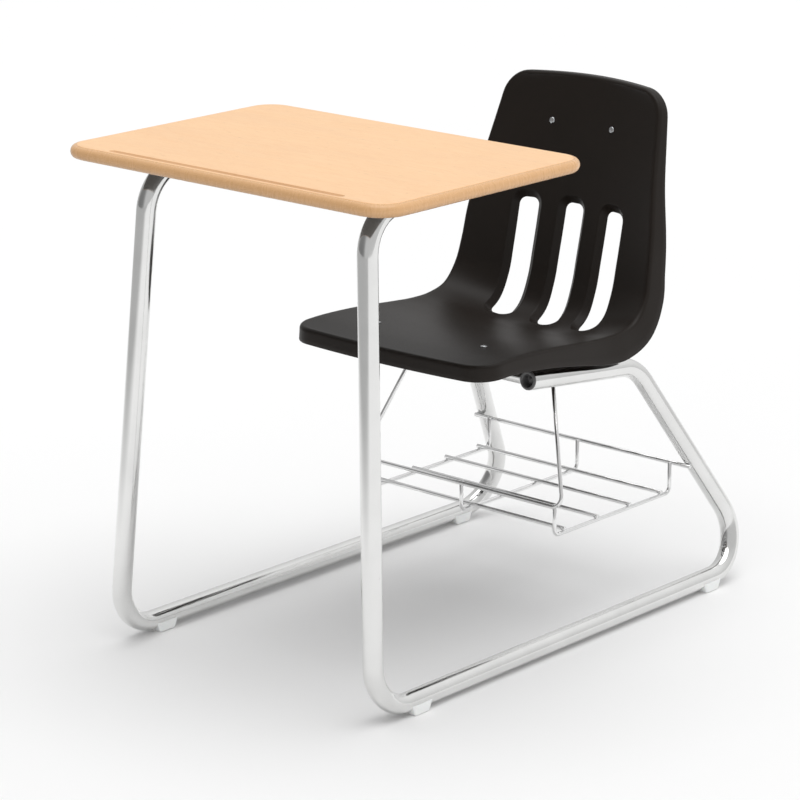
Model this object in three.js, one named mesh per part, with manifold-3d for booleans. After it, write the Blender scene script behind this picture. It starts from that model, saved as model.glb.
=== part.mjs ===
// Student desk chair: a sled-base combination of a writing desk and a moulded seat.
// Millimetres, +Z up, -Y towards the desk's front edge, +X the sitter's left hand side.
// The origin is on the floor, under the middle of the object's bounding box.
import * as THREE from "three";
import { mergeVertices } from "three/addons/utils/BufferGeometryUtils.js";
import Module from "manifold-3d";

const wasm = await Module();
wasm.setup();

// Driving dimensions
const GAP = 0.3; // clearance between pieces that touch
const DESK_WIDTH = 598;
const DESK_DEPTH = 418;
const DESK_HEIGHT = 719;
const DESK_THICKNESS = 18;
const DESK_CORNER = 43;
const DESK_FRONT_Y = -434;
const GROOVE_LENGTH = 428;
const GROOVE_INSET = 18.5;
const GROOVE_RADIUS = 6;
const GROOVE_DEPTH = 3;

const TUBE_RADIUS = 14;
const TUBE_WALL = 1.6;
const BEND_RADIUS = 63;
const RUNNER_X = 243;
const LEG_TOP_X = 200;
const SEAT_TUBE_X = 162;
const RUNNER_Z = TUBE_RADIUS + 3;
const DESK_TUBE_Z = DESK_HEIGHT - DESK_THICKNESS - GAP - TUBE_RADIUS;
const LEG_TOP_Y = -357;
const LEG_FOOT_Y = -394;
const DESK_TUBE_BACK_Y = -62;
const RUNNER_BACK_Y = 467;
const SEAT_TUBE_BACK = { y: 264, z: 346 };
const SEAT_TUBE_FRONT = { y: 21, z: 375 };

const CROSS_TUBE_RADIUS = 9.5;
const CROSS_TUBE_WALL = 1.5;
const FRONT_CROSS_Y = 31;
const REAR_CROSS_Y = 133;
const DESK_CROSS_Y = -190;

const SHELL_THICKNESS = 4;
const SHELL_RIM_FLARE = 7;
const SLOT_WIDTH = 32;
const SLOT_SPACING = 80;
const RIVET_HEAD_RADIUS = 4.8;
const RIVET_SHANK_RADIUS = 2.4;
const RIVET_DOME = 1.6;

const WIRE_RADIUS = 3;
const BASKET_FLOOR_Z = 143.5;
const BASKET_HALF_WIDTH = 175;
const BASKET_RAIL_Z = 182;
const BASKET_FRONT_Y = 61;
const HANGER_FOOT_X = 194;
const HANGER_TOP = { x: 124, y: 119, z: 364 };

const GLIDE_LENGTH = 40;
const GLIDE_HEIGHT = 15;
const GLIDE_HALF_WIDTH = 15.5;
const GLIDE_FRONT_Y = -312;
const GLIDE_BACK_Y = 342;

// Materials
function finish(color, roughness, metalness) {
  return new THREE.MeshStandardMaterial({ color, roughness, metalness });
}
const chrome = finish(0xd4d6d8, 0.12, 1);
const rivetSteel = finish(0xb9bbbd, 0.35, 1);
const maple = finish(0xf2cfa6, 0.45, 0);
const shellPlastic = finish(0x23211f, 0.55, 0);
const plugPlastic = finish(0x3a3a3b, 0.5, 0);
const glidePlastic = finish(0xf4f4f2, 0.4, 0);

const object = new THREE.Group();

function add(name, geometry, material) {
  const mesh = new THREE.Mesh(geometry, material);
  mesh.name = name;
  object.add(mesh);
  return mesh;
}

// A three.js geometry as a solid, so that it can be cut.
function toSolid(geometry) {
  const bare = geometry.index ? geometry.toNonIndexed() : geometry.clone();
  bare.deleteAttribute("normal");
  bare.deleteAttribute("uv");
  const merged = mergeVertices(bare, 1e-4);
  return new wasm.Manifold(
    new wasm.Mesh({
      numProp: 3,
      vertProperties: merged.attributes.position.array,
      triVerts: new Uint32Array(merged.index.array),
    }),
  );
}

function toGeometry(solid) {
  const mesh = solid.getMesh();
  const geometry = new THREE.BufferGeometry();
  geometry.setAttribute("position", new THREE.BufferAttribute(mesh.vertProperties, 3));
  geometry.setIndex(new THREE.BufferAttribute(mesh.triVerts, 1));
  geometry.computeVertexNormals();
  return geometry;
}

// A path that ExtrudeGeometry follows station by station, so straight runs stay one step long.
class StationPath extends THREE.Curve {
  constructor(stations) {
    super();
    this.stations = stations;
  }
  getPoint(t) {
    const last = this.stations.length - 1;
    const place = t * last;
    const index = Math.min(Math.floor(place + 1e-9), last - 1);
    return this.stations[index].clone().lerp(this.stations[index + 1], place - index);
  }
  getPointAt(u) {
    return this.getPoint(u);
  }
  getTangentAt(u) {
    const last = this.stations.length - 1;
    const index = Math.round(u * last);
    const before = this.stations[Math.max(index - 1, 0)];
    const after = this.stations[Math.min(index + 1, last)];
    return after.clone().sub(before).normalize();
  }
}

// The stations of a centre line with each inner corner rounded to the bend radius.
function bentLine(corners, radius, arcSteps) {
  const points = corners.map(([x, y, z]) => new THREE.Vector3(x, y, z));
  const stations = [points[0]];
  for (let i = 1; i < points.length - 1; i++) {
    const back = points[i - 1].clone().sub(points[i]).normalize();
    const ahead = points[i + 1].clone().sub(points[i]).normalize();
    const half = back.angleTo(ahead) / 2;
    const sweep = Math.PI - 2 * half;
    const centre = back
      .clone()
      .add(ahead)
      .normalize()
      .multiplyScalar(radius / Math.sin(half))
      .add(points[i]);
    const setback = radius / Math.tan(half);
    const start = points[i].clone().addScaledVector(back, setback).sub(centre);
    const end = points[i].clone().addScaledVector(ahead, setback).sub(centre);
    for (let k = 0; k <= arcSteps; k++) {
      const angle = (sweep * k) / arcSteps;
      const from = start.clone().multiplyScalar(Math.sin(sweep - angle) / Math.sin(sweep));
      const to = end.clone().multiplyScalar(Math.sin(angle) / Math.sin(sweep));
      stations.push(from.add(to).add(centre));
    }
  }
  stations.push(points[points.length - 1]);
  return stations;
}

function circle(radius, sides, Kind = THREE.Path) {
  const outline = new Kind();
  for (let i = 0; i <= sides; i++) {
    const angle = (2 * Math.PI * i) / sides;
    const point = [radius * Math.cos(angle), radius * Math.sin(angle)];
    if (i === 0) outline.moveTo(...point);
    else outline.lineTo(...point);
  }
  return outline;
}

function alongStations(stations, radius, wall, sides) {
  const section = circle(radius, sides, THREE.Shape);
  if (wall > 0) section.holes.push(circle(radius - wall, sides));
  return new THREE.ExtrudeGeometry(section, {
    steps: stations.length - 1,
    extrudePath: new StationPath(stations),
  });
}

function straightRod(from, to, radius, wall, sides) {
  const ends = [new THREE.Vector3(...from), new THREE.Vector3(...to)];
  return alongStations(ends, radius, wall, sides);
}

// A flat outline in the Y-Z plane, extruded along X about a middle place.
function plateAlongX(outline, middleX, width, holes = []) {
  const shape = new THREE.Shape(outline.map(([y, z]) => new THREE.Vector2(y, z)));
  shape.holes.push(...holes);
  const geometry = new THREE.ExtrudeGeometry(shape, { depth: width, bevelEnabled: false });
  geometry.translate(0, 0, -width / 2);
  geometry.applyMatrix4(
    new THREE.Matrix4().makeBasis(
      new THREE.Vector3(0, 1, 0),
      new THREE.Vector3(0, 0, 1),
      new THREE.Vector3(1, 0, 0),
    ),
  );
  return geometry.translate(middleX, 0, 0);
}

// A turned piece about Z: each profile point is [radius, height].
function turned(profile, sides) {
  const geometry = new THREE.LatheGeometry(
    profile.map(([radius, height]) => new THREE.Vector2(radius, height)),
    sides,
  );
  return geometry.rotateX(Math.PI / 2);
}

function placeAlong(geometry, position, direction) {
  const turn = new THREE.Quaternion().setFromUnitVectors(
    new THREE.Vector3(0, 0, 1),
    direction.clone().normalize(),
  );
  return geometry.applyQuaternion(turn).translate(position.x, position.y, position.z);
}

const SIDES = [
  { name: "left", sign: 1 },
  { name: "right", sign: -1 },
];

// Desktop
const TAB_WIDTH = 26;
const TAB_THICKNESS = 3;
const TAB_X = 170;
const TAB_REACH = 20;
const DESK_TAB_YS = [-300, -100];
const SCREW_RADIUS = 2.2;
const SCREW_BITE = 12;

function roundedRectangle(width, depth, corner) {
  const shape = new THREE.Shape();
  const x = width / 2;
  const y = depth / 2;
  shape.moveTo(x, -y + corner);
  shape.lineTo(x, y - corner);
  shape.absarc(x - corner, y - corner, corner, 0, Math.PI / 2);
  shape.absarc(-x + corner, y - corner, corner, Math.PI / 2, Math.PI);
  shape.absarc(-x + corner, -y + corner, corner, Math.PI, 1.5 * Math.PI);
  shape.absarc(x - corner, -y + corner, corner, 1.5 * Math.PI, 2 * Math.PI);
  return shape;
}

function desktopGeometry() {
  const edge = DESK_THICKNESS / 2 - 1;
  const outline = roundedRectangle(
    DESK_WIDTH - 2 * edge,
    DESK_DEPTH - 2 * edge,
    DESK_CORNER - edge,
  );
  const slab = new THREE.ExtrudeGeometry(outline, {
    depth: DESK_THICKNESS - 2 * edge,
    bevelThickness: edge,
    bevelSize: edge,
    bevelSegments: 4,
    curveSegments: 8,
  });
  const underside = DESK_HEIGHT - DESK_THICKNESS;
  slab.translate(0, DESK_FRONT_Y + DESK_DEPTH / 2, underside + edge);
  const groove = new THREE.CapsuleGeometry(GROOVE_RADIUS, GROOVE_LENGTH - 2 * GROOVE_RADIUS, 4, 12);
  groove.rotateZ(Math.PI / 2);
  groove.translate(
    0,
    DESK_FRONT_Y + GROOVE_INSET,
    DESK_HEIGHT + GROOVE_RADIUS - GROOVE_DEPTH,
  );
  let solid = toSolid(slab).subtract(toSolid(groove));
  for (const { sign } of SIDES) {
    for (const y of DESK_TAB_YS) {
      const pilot = new THREE.CylinderGeometry(SCREW_RADIUS + GAP, SCREW_RADIUS + GAP, 2 * SCREW_BITE, 10);
      pilot.rotateX(Math.PI / 2);
      pilot.translate(sign * TAB_X, y, underside + 1);
      solid = solid.subtract(toSolid(pilot));
    }
  }
  return toGeometry(solid);
}
add("desktop", desktopGeometry(), maple);

// Side frames: one bent tube each side, from under the desktop to under the seat.
function sideCorners(sign) {
  return [
    [sign * LEG_TOP_X, DESK_TUBE_BACK_Y, DESK_TUBE_Z],
    [sign * LEG_TOP_X, LEG_TOP_Y, DESK_TUBE_Z],
    [sign * RUNNER_X, LEG_FOOT_Y, RUNNER_Z],
    [sign * RUNNER_X, RUNNER_BACK_Y, RUNNER_Z],
    [sign * SEAT_TUBE_X, SEAT_TUBE_BACK.y, SEAT_TUBE_BACK.z],
    [sign * SEAT_TUBE_X, SEAT_TUBE_FRONT.y, SEAT_TUBE_FRONT.z],
  ];
}

// Each plug is a flanged cup pushed into the end of a tube.
function plugGeometry(end, outward) {
  const fit = TUBE_RADIUS - TUBE_WALL - 2 * GAP;
  const profile = [
    [0, -16],
    [fit, -16],
    [fit, GAP],
    [TUBE_RADIUS - 0.4, GAP],
    [TUBE_RADIUS - 0.4, 2],
    [TUBE_RADIUS - 1.6, 3],
    [fit - 2, 3],
    [fit - 3, -9],
    [0, -9],
  ];
  return placeAlong(turned(profile, 20), end, outward);
}

for (const { name, sign } of SIDES) {
  const stations = bentLine(sideCorners(sign), BEND_RADIUS, 6);
  add(`side_frame_${name}`, alongStations(stations, TUBE_RADIUS, TUBE_WALL, 14), chrome);
  const last = stations.length - 1;
  const seatDirection = stations[last].clone().sub(stations[last - 1]);
  const deskDirection = stations[0].clone().sub(stations[1]);
  add(`seat_tube_plug_${name}`, plugGeometry(stations[last], seatDirection), plugPlastic);
  add(`desk_tube_plug_${name}`, plugGeometry(stations[0], deskDirection), plugPlastic);
}

// Cross tubes welded between the side frames.
function seatTubeZ(y) {
  const share = (y - SEAT_TUBE_FRONT.y) / (SEAT_TUBE_BACK.y - SEAT_TUBE_FRONT.y);
  return SEAT_TUBE_FRONT.z + share * (SEAT_TUBE_BACK.z - SEAT_TUBE_FRONT.z);
}

function crossTube(name, sideX, y, z) {
  const reach = sideX - TUBE_RADIUS - GAP;
  const geometry = straightRod([-reach, y, z], [reach, y, z], CROSS_TUBE_RADIUS, CROSS_TUBE_WALL, 12);
  add(name, geometry, chrome);
}
crossTube("front_seat_cross_tube", SEAT_TUBE_X, FRONT_CROSS_Y, seatTubeZ(FRONT_CROSS_Y));
crossTube("rear_seat_cross_tube", SEAT_TUBE_X, REAR_CROSS_Y, seatTubeZ(REAR_CROSS_Y));
crossTube("desk_cross_tube", LEG_TOP_X, DESK_CROSS_Y, DESK_TUBE_Z - 2);

// Desk tabs and their screws
// A pan head screw driven upwards, its head's bearing face at a given height.
function screwGeometry(headTop) {
  return turned(
    [
      [0, headTop - 3],
      [3.6, headTop - 3],
      [4.8, headTop - 1.8],
      [4.8, headTop],
      [SCREW_RADIUS, headTop],
      [SCREW_RADIUS, headTop + TAB_THICKNESS + SCREW_BITE - 4],
      [0, headTop + TAB_THICKNESS + SCREW_BITE - 2],
    ],
    12,
  );
}

for (const { name, sign } of SIDES) {
  DESK_TAB_YS.forEach((y, index) => {
    const place = index === 0 ? "front" : "rear";
    const top = DESK_HEIGHT - DESK_THICKNESS - GAP;
    const shape = new THREE.Shape();
    const inner = TAB_X - TAB_REACH;
    const outer = LEG_TOP_X - TUBE_RADIUS * Math.sqrt(1 - (1 - TAB_THICKNESS / TUBE_RADIUS) ** 2) - GAP;
    shape.moveTo(inner, y - TAB_WIDTH / 2);
    shape.lineTo(outer, y - TAB_WIDTH / 2);
    shape.lineTo(outer, y + TAB_WIDTH / 2);
    shape.lineTo(inner, y + TAB_WIDTH / 2);
    const hole = new THREE.Path();
    hole.absarc(TAB_X, y, SCREW_RADIUS + GAP, 0, 2 * Math.PI);
    shape.holes.push(hole);
    const tab = new THREE.ExtrudeGeometry(shape, {
      depth: TAB_THICKNESS,
      bevelEnabled: false,
      curveSegments: 6,
    });
    tab.translate(0, 0, top - TAB_THICKNESS);
    const mesh = add(`desk_tab_${place}_${name}`, tab, chrome);
    const screw = screwGeometry(top - TAB_THICKNESS - GAP).translate(TAB_X, y, 0);
    const fastener = add(`desk_screw_${place}_${name}`, screw, rivetSteel);
    if (sign < 0) {
      mesh.rotation.z = Math.PI;
      mesh.position.y = 2 * y;
      fastener.position.x = -2 * TAB_X;
    }
  });
}

// Seat shell. Rows run from the front lip to the top of the back. Each row has the height and
// depth of the shell's middle, those of its rim, and the rim's half width.
const SHELL_ROWS = [
  { middle: [-101, 419], rim: [-99, 420.5], half: 178 },
  { middle: [-36, 418], rim: [-36, 423], half: 177 },
  { middle: [44, 411], rim: [44, 420], half: 177 },
  { middle: [124, 398.5], rim: [114, 414], half: 177 },
  { middle: [189, 388.5], rim: [164, 410.5], half: 177 },
  { middle: [236, 385.5], rim: [204, 411.5], half: 178 },
  { middle: [270.5, 401.5], rim: [239, 421.5], half: 178 },
  { middle: [289, 438], rim: [262, 449], half: 177 },
  { middle: [300, 480.5], rim: [272.5, 484], half: 174 },
  { middle: [314, 540], rim: [283, 535], half: 170 },
  { middle: [326.5, 605], rim: [301, 605], half: 158 },
  { middle: [339, 670], rim: [321, 670], half: 148 },
  { middle: [353, 737], rim: [340, 735], half: 138 },
];
const SHELL_CORNER_FRONT = 36;
const SHELL_CORNER_TOP = 34;
const SHELL_ACROSS = 12;
const SHELL_ALONG = 26;

const rowCurve = (pick) =>
  new THREE.CatmullRomCurve3(SHELL_ROWS.map((row) => new THREE.Vector3(...pick(row))));
const middleCurve = rowCurve((row) => [0, ...row.middle]);
const rimCurve = rowCurve((row) => [row.half, ...row.rim]);

// A place on the shell's upper face: across runs -1 to 1, along runs 0 to 1.
function shellPoint(across, along) {
  const middle = middleCurve.getPoint(along);
  const rim = rimCurve.getPoint(along);
  const blend = across * across;
  const length = SHELL_LENGTH;
  const fromFront = Math.min(along * length, SHELL_CORNER_FRONT);
  const fromTop = Math.min((1 - along) * length, SHELL_CORNER_TOP);
  const roundedBy =
    cornerInset(fromFront, SHELL_CORNER_FRONT) + cornerInset(fromTop, SHELL_CORNER_TOP);
  return new THREE.Vector3(
    across * (rim.x - roundedBy),
    middle.y + blend * (rim.y - middle.y),
    middle.z + blend * (rim.z - middle.z),
  );
}
const SHELL_LENGTH = middleCurve.getLength();

function cornerInset(distance, radius) {
  const rest = radius - distance;
  return radius - Math.sqrt(radius * radius - rest * rest);
}

function shellNormal(across, along) {
  const step = 0.004;
  const towardsX = shellPoint(across + step, along).sub(shellPoint(across - step, along));
  const low = Math.max(along - step, 0);
  const high = Math.min(along + step, 1);
  const forward = middleCurve.getPoint(high).sub(middleCurve.getPoint(low));
  const rimward = rimCurve.getPoint(high).sub(rimCurve.getPoint(low));
  const blend = across * across;
  const towardsTop = forward.lerp(rimward.setX(0), blend);
  return towardsX.cross(towardsTop).normalize();
}

// How deep the rolled rim hangs below the shell's edge.
function rimDepth(along) {
  const stops = [23, 24, 28, 33, 39, 42, 40, 36, 32, 28, 22, 18, 15];
  const place = along * (stops.length - 1);
  const index = Math.min(Math.floor(place), stops.length - 2);
  return THREE.MathUtils.lerp(stops[index], stops[index + 1], place - index);
}

function alongStation(index) {
  const cornerRows = 3;
  const front = SHELL_CORNER_FRONT / SHELL_LENGTH;
  const top = SHELL_CORNER_TOP / SHELL_LENGTH;
  if (index <= cornerRows) return front * (1 - Math.cos((index / cornerRows) * (Math.PI / 2)));
  const fromEnd = SHELL_ALONG - index;
  if (fromEnd <= cornerRows) return 1 - top * (1 - Math.cos((fromEnd / cornerRows) * (Math.PI / 2)));
  const share = (index - cornerRows) / (SHELL_ALONG - 2 * cornerRows);
  return front + share * (1 - front - top);
}

function shellGeometry() {
  const positions = [];
  const triangles = [];
  const keep = (point) => positions.push(point.x, point.y, point.z) / 3 - 1;
  const face = (a, b, c, d) => triangles.push(a, b, c, a, c, d);
  const upper = [];
  const lower = [];
  for (let row = 0; row <= SHELL_ALONG; row++) {
    upper.push([]);
    lower.push([]);
    for (let column = 0; column <= SHELL_ACROSS; column++) {
      const across = (2 * column) / SHELL_ACROSS - 1;
      const along = alongStation(row);
      const point = shellPoint(across, along);
      const normal = shellNormal(across, along);
      upper[row].push(keep(point));
      lower[row].push(keep(point.clone().addScaledVector(normal, -SHELL_THICKNESS)));
    }
  }
  for (let row = 0; row < SHELL_ALONG; row++) {
    for (let column = 0; column < SHELL_ACROSS; column++) {
      const next = column + 1;
      face(upper[row][column], upper[row][next], upper[row + 1][next], upper[row + 1][column]);
      face(lower[row][column], lower[row + 1][column], lower[row + 1][next], lower[row][next]);
    }
  }
  // The edge, walked once round: front, left side, top, right side.
  const walk = [];
  for (let column = 0; column < SHELL_ACROSS; column++) walk.push([0, column]);
  for (let row = 0; row < SHELL_ALONG; row++) walk.push([row, SHELL_ACROSS]);
  for (let column = SHELL_ACROSS; column > 0; column--) walk.push([SHELL_ALONG, column]);
  for (let row = SHELL_ALONG; row > 0; row--) walk.push([row, 0]);
  const at = (index) => new THREE.Vector3().fromArray(positions, 3 * index);
  const rings = walk.map(([row, column], index) => {
    const [rowBack, columnBack] = walk[(index + walk.length - 1) % walk.length];
    const [rowNext, columnNext] = walk[(index + 1) % walk.length];
    const edge = at(upper[row][column]);
    const run = at(upper[rowNext][columnNext]).sub(at(upper[rowBack][columnBack]));
    const across = (2 * column) / SHELL_ACROSS - 1;
    const normal = shellNormal(across, alongStation(row));
    normal.setX(normal.x / 2).normalize();
    const outward = run.cross(normal).normalize();
    const depth = rimDepth(alongStation(row));
    const offset = (out, down) =>
      keep(edge.clone().addScaledVector(outward, out).addScaledVector(normal, -down));
    const flare = SHELL_RIM_FLARE;
    return [
      upper[row][column],
      offset(flare * 0.45, 1.2),
      offset(flare * 0.8, 5),
      offset(flare, depth),
      offset(flare - SHELL_THICKNESS, depth),
      offset(flare * 0.4, 8),
      lower[row][column],
    ];
  });
  rings.forEach((ring, index) => {
    const next = rings[(index + 1) % rings.length];
    for (let step = 0; step < ring.length - 1; step++) {
      face(ring[step], ring[step + 1], next[step + 1], next[step]);
    }
  });
  const geometry = new THREE.BufferGeometry();
  geometry.setAttribute("position", new THREE.Float32BufferAttribute(positions, 3));
  geometry.setIndex(triangles);
  return geometry;
}

// The places along the shell where the slots' narrow ends start and end.
const SLOT_START = 0.446;
const SLOT_END = 0.77;
// Each slot is a funnel. A level is its height over the shell's face, and how much wider
// than the narrow opening the funnel is there.
const SLOT_HOLLOW = [[6, 15.5], [-8, 0], [-20, 0]];
const SLOT_SLEEVE = [[-2, 11.5], [-8, 4.8]];

function slotSolid(middleX, levels) {
  const positions = [];
  const triangles = [];
  const runs = 18;
  const across = middleX / 177;
  const corners = [[-1, levels[0]]];
  for (const level of levels) corners.push([1, level]);
  for (let k = levels.length - 1; k > 0; k--) corners.push([-1, levels[k]]);
  for (let i = 0; i <= runs; i++) {
    const share = (1 - Math.cos((Math.PI * i) / runs)) / 2;
    for (const [side, [lift, growth]] of corners) {
      const half = SLOT_WIDTH / 2 + growth;
      const start = SLOT_START - growth / SHELL_LENGTH;
      const end = SLOT_END + growth / SHELL_LENGTH;
      const fromEnd = Math.min(share, 1 - share) * (end - start) * SHELL_LENGTH;
      const inset = fromEnd < half ? cornerInset(fromEnd, half) : 0;
      const along = start + share * (end - start);
      const normal = shellNormal(across, along).setX(0).normalize();
      const corner = shellPoint(across, along).setX(middleX).addScaledVector(normal, lift);
      corner.x += side * Math.max(half - inset, 3);
      positions.push(corner.x, corner.y, corner.z);
    }
  }
  const count = corners.length;
  for (let i = 0; i < runs; i++) {
    for (let k = 0; k < count; k++) {
      const here = count * i + k;
      const next = count * i + ((k + 1) % count);
      triangles.push(here, next, next + count, here, next + count, here + count);
    }
  }
  for (let k = 1; k < count - 1; k++) {
    triangles.push(0, k + 1, k);
    triangles.push(count * runs, count * runs + k, count * runs + k + 1);
  }
  const geometry = new THREE.BufferGeometry();
  geometry.setAttribute("position", new THREE.Float32BufferAttribute(positions, 3));
  geometry.setIndex(triangles);
  return toSolid(geometry);
}

// Rivets: two through the seat's front and two through the upper back.
const SEAT_RIVET = { across: 100 / 177, along: 0.118 };
const BACK_RIVET = { across: 56 / 148, along: 0.917 };

function shellFrameAt({ across, along }, sign) {
  const point = shellPoint(sign * across, along);
  const normal = shellNormal(sign * across, along);
  return { point, normal };
}

function rivetHole({ point, normal }) {
  const hole = new THREE.CylinderGeometry(RIVET_SHANK_RADIUS + GAP, RIVET_SHANK_RADIUS + GAP, 30, 12);
  hole.rotateX(Math.PI / 2);
  return toSolid(placeAlong(hole, point, normal));
}

// Moulded bosses under the seat take the screws of the rear tabs.
const BOSS_RADIUS = 8;
const BOSS_FOOT_Z = 381;
const BOSS_PLACE = { x: 100, y: 162 };

function bossSolid(sign) {
  const boss = new THREE.CylinderGeometry(BOSS_RADIUS, BOSS_RADIUS, 16, 16);
  boss.rotateX(Math.PI / 2);
  boss.translate(sign * BOSS_PLACE.x, BOSS_PLACE.y, BOSS_FOOT_Z + 8);
  return toSolid(boss);
}

function bossPilot(sign) {
  const pilot = new THREE.CylinderGeometry(SCREW_RADIUS + GAP, SCREW_RADIUS + GAP, 24, 10);
  pilot.rotateX(Math.PI / 2);
  pilot.translate(sign * BOSS_PLACE.x, BOSS_PLACE.y, BOSS_FOOT_Z);
  return toSolid(pilot);
}

let shell = toSolid(shellGeometry());
for (const slot of [-1, 0, 1]) {
  const middleX = slot * SLOT_SPACING;
  shell = shell.add(slotSolid(middleX, SLOT_SLEEVE)).subtract(slotSolid(middleX, SLOT_HOLLOW));
}
for (const { sign } of SIDES) {
  shell = shell.subtract(rivetHole(shellFrameAt(SEAT_RIVET, sign)));
  shell = shell.subtract(rivetHole(shellFrameAt(BACK_RIVET, sign)));
  shell = shell.add(bossSolid(sign)).subtract(bossPilot(sign));
}
add("seat_shell", toGeometry(shell), shellPlastic);

// A rivet is a domed head on the shell's face, a shank and a formed tail.
function rivetGeometry(grip) {
  const head = RIVET_HEAD_RADIUS;
  const tail = 0.8 * head;
  return turned(
    [
      [0, -grip - 2.2],
      [tail * 0.7, -grip - 2],
      [tail, -grip - 1.2],
      [tail, -grip - GAP],
      [RIVET_SHANK_RADIUS, -grip - GAP],
      [RIVET_SHANK_RADIUS, GAP],
      [head, GAP],
      [head, GAP + 0.3],
      [head * 0.75, GAP + RIVET_DOME * 0.75],
      [head * 0.4, GAP + RIVET_DOME * 0.95],
      [0, GAP + RIVET_DOME],
    ],
    14,
  );
}

// Seat tabs: bent plates that join the shell to the two cross tubes under it.
const SEAT_TAB_WIDTH = 30;
const FRONT_PAD_Y = -21;
const REAR_PAD_Y = 181;

function frontTabOutline() {
  const inner = (SEAT_RIVET.across * 177 - SEAT_TAB_WIDTH / 2) / 177;
  const under = (along) => {
    const point = shellPoint(inner, along);
    return point.addScaledVector(shellNormal(inner, along), -SHELL_THICKNESS - 2 * GAP);
  };
  const ahead = under(SEAT_RIVET.along - 0.02);
  const behind = under(SEAT_RIVET.along + 0.02);
  const slope = (behind.z - ahead.z) / (behind.y - ahead.y);
  const topAt = (y) => ahead.z + slope * (y - ahead.y);
  const legFace = FRONT_CROSS_Y - CROSS_TUBE_RADIUS - GAP;
  const foot = seatTubeZ(FRONT_CROSS_Y);
  return [
    [FRONT_PAD_Y, topAt(FRONT_PAD_Y)],
    [FRONT_PAD_Y, topAt(FRONT_PAD_Y) - TAB_THICKNESS],
    [legFace - TAB_THICKNESS, topAt(legFace) - TAB_THICKNESS],
    [legFace - TAB_THICKNESS, foot],
    [legFace, foot],
    [legFace, topAt(legFace)],
  ];
}

function rearTabOutline() {
  const legFace = REAR_CROSS_Y + CROSS_TUBE_RADIUS + GAP;
  const foot = seatTubeZ(REAR_CROSS_Y);
  const top = BOSS_FOOT_Z - GAP;
  return [
    [legFace, foot],
    [legFace + TAB_THICKNESS, foot],
    [legFace + TAB_THICKNESS, top - TAB_THICKNESS],
    [REAR_PAD_Y, top - TAB_THICKNESS],
    [REAR_PAD_Y, top],
    [legFace, top],
  ];
}

for (const { name, sign } of SIDES) {
  const seatFrame = shellFrameAt(SEAT_RIVET, sign);
  const frontTab = plateAlongX(frontTabOutline(), sign * SEAT_RIVET.across * 177, SEAT_TAB_WIDTH);
  const drilled = toSolid(frontTab).subtract(rivetHole(seatFrame));
  add(`front_seat_tab_${name}`, toGeometry(drilled), chrome);
  const seatGrip = SHELL_THICKNESS + TAB_THICKNESS + 2.4;
  const seatRivet = placeAlong(rivetGeometry(seatGrip), seatFrame.point, seatFrame.normal);
  add(`seat_rivet_${name}`, seatRivet, rivetSteel);

  const rearTab = plateAlongX(rearTabOutline(), sign * BOSS_PLACE.x, SEAT_TAB_WIDTH);
  add(`rear_seat_tab_${name}`, toGeometry(toSolid(rearTab).subtract(bossPilot(sign))), chrome);
  const seatScrew = screwGeometry(BOSS_FOOT_Z - 2 * GAP - TAB_THICKNESS);
  add(`seat_screw_${name}`, seatScrew, rivetSteel).position.set(sign * BOSS_PLACE.x, BOSS_PLACE.y, 0);

  const backFrame = shellFrameAt(BACK_RIVET, sign);
  const washerFace = -SHELL_THICKNESS - GAP;
  const washer = turned(
    [
      [RIVET_SHANK_RADIUS + GAP, washerFace - 1.2],
      [7, washerFace - 1.2],
      [7, washerFace],
      [RIVET_SHANK_RADIUS + GAP, washerFace],
      [RIVET_SHANK_RADIUS + GAP, washerFace - 1.2],
    ],
    18,
  );
  add(`back_washer_${name}`, placeAlong(washer, backFrame.point, backFrame.normal), rivetSteel);
  const backRivet = placeAlong(
    rivetGeometry(SHELL_THICKNESS + 2 * GAP + 1),
    backFrame.point,
    backFrame.normal,
  );
  add(`back_rivet_${name}`, backRivet, rivetSteel);
}

// Book basket: a front hanger, a rear rail, three U wires and four floor wires.
function wire(name, corners, bend) {
  add(name, alongStations(bentLine(corners, bend, 4), WIRE_RADIUS, 0, 8), chrome);
}

wire(
  "basket_hanger_wire",
  [
    [HANGER_TOP.x, HANGER_TOP.y, HANGER_TOP.z],
    [HANGER_FOOT_X, BASKET_FRONT_Y, BASKET_RAIL_Z],
    [-HANGER_FOOT_X, BASKET_FRONT_Y, BASKET_RAIL_Z],
    [-HANGER_TOP.x, HANGER_TOP.y, HANGER_TOP.z],
  ],
  14,
);

// The rear rail lies across the front faces of both rear uprights.
function rearRailY() {
  const rise = SEAT_TUBE_BACK.z - RUNNER_Z;
  const lean = RUNNER_BACK_Y - SEAT_TUBE_BACK.y;
  const clear = TUBE_RADIUS + WIRE_RADIUS + GAP;
  const slant = Math.hypot(rise, lean);
  return RUNNER_BACK_Y - (clear * slant + (BASKET_RAIL_Z - RUNNER_Z) * lean) / rise;
}
const BASKET_BACK_Y = rearRailY();
const RAIL_REACH = 209;
wire(
  "basket_rear_rail",
  [
    [-RAIL_REACH, BASKET_BACK_Y, BASKET_RAIL_Z],
    [RAIL_REACH, BASKET_BACK_Y, BASKET_RAIL_Z],
  ],
  0,
);

const WIRE_PITCH = 2 * WIRE_RADIUS + GAP;
const RISER_TOP_Z = BASKET_RAIL_Z + 2;
[
  { name: "left", x: BASKET_HALF_WIDTH },
  { name: "middle", x: 0 },
  { name: "right", x: -BASKET_HALF_WIDTH },
].forEach(({ name, x }) => {
  const front = BASKET_FRONT_Y + WIRE_PITCH;
  const back = BASKET_BACK_Y - WIRE_PITCH;
  const low = BASKET_FLOOR_Z - WIRE_PITCH;
  wire(
    `basket_u_wire_${name}`,
    [
      [x, front, RISER_TOP_Z],
      [x, front, low],
      [x, back, low],
      [x, back, RISER_TOP_Z],
    ],
    10,
  );
});

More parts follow.
